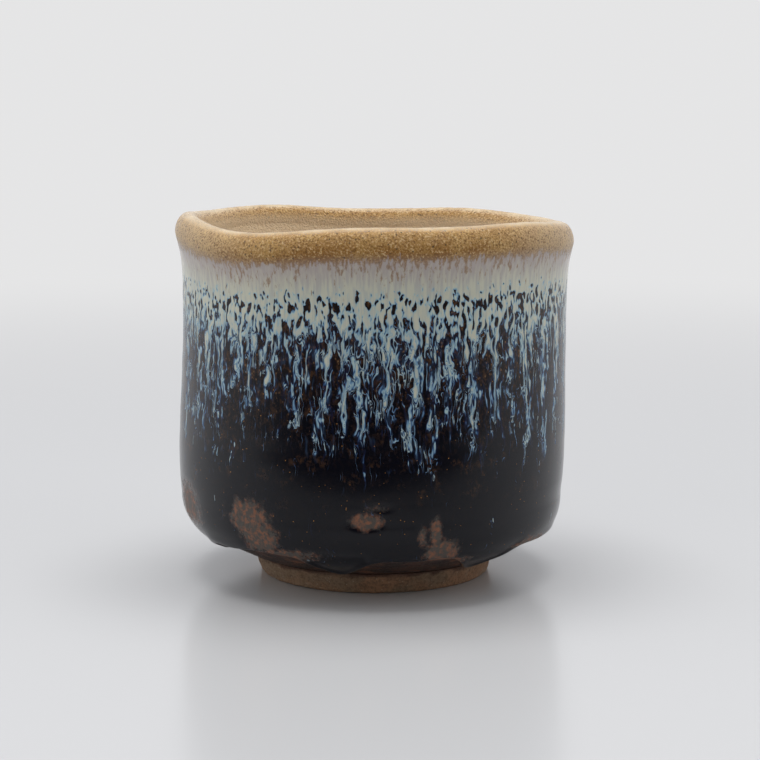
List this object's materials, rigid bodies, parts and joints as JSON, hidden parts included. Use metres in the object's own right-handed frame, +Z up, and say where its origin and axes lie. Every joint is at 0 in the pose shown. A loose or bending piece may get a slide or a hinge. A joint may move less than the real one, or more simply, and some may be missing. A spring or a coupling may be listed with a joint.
{
  "type": "sake cup",
  "caption": "Squat hand-thrown stoneware sake cup with an uneven rolled lip, straw-ash glaze running down over black glaze, finger marks and a bare turned foot ring.",
  "frame": {"origin": "centre of the foot ring's resting plane, on the cup's axis", "axes": "+Z up along the cup's axis, +X to the right side of the pictured front and across the wider way of the slightly oval mouth, -Y towards the pictured front"},
  "size_m": [0.0632, 0.0624, 0.0577],
  "materials": {
    "bare_clay": "matte",
    "iron_wash": "satin",
    "black_glaze": "gloss",
    "straw_ash_glaze": "gloss",
    "amber_glaze": "satin",
    "liner_glaze": "gloss"
  },
  "bodies": {
    "root": {"clay_body": "bare_clay", "foot_ring": "bare_clay", "iron_wash": "iron_wash", "black_glaze": "black_glaze", "straw_ash_glaze": "straw_ash_glaze", "lip_glaze": "amber_glaze", "liner_glaze": "liner_glaze"}
  },
  "joints": []
}
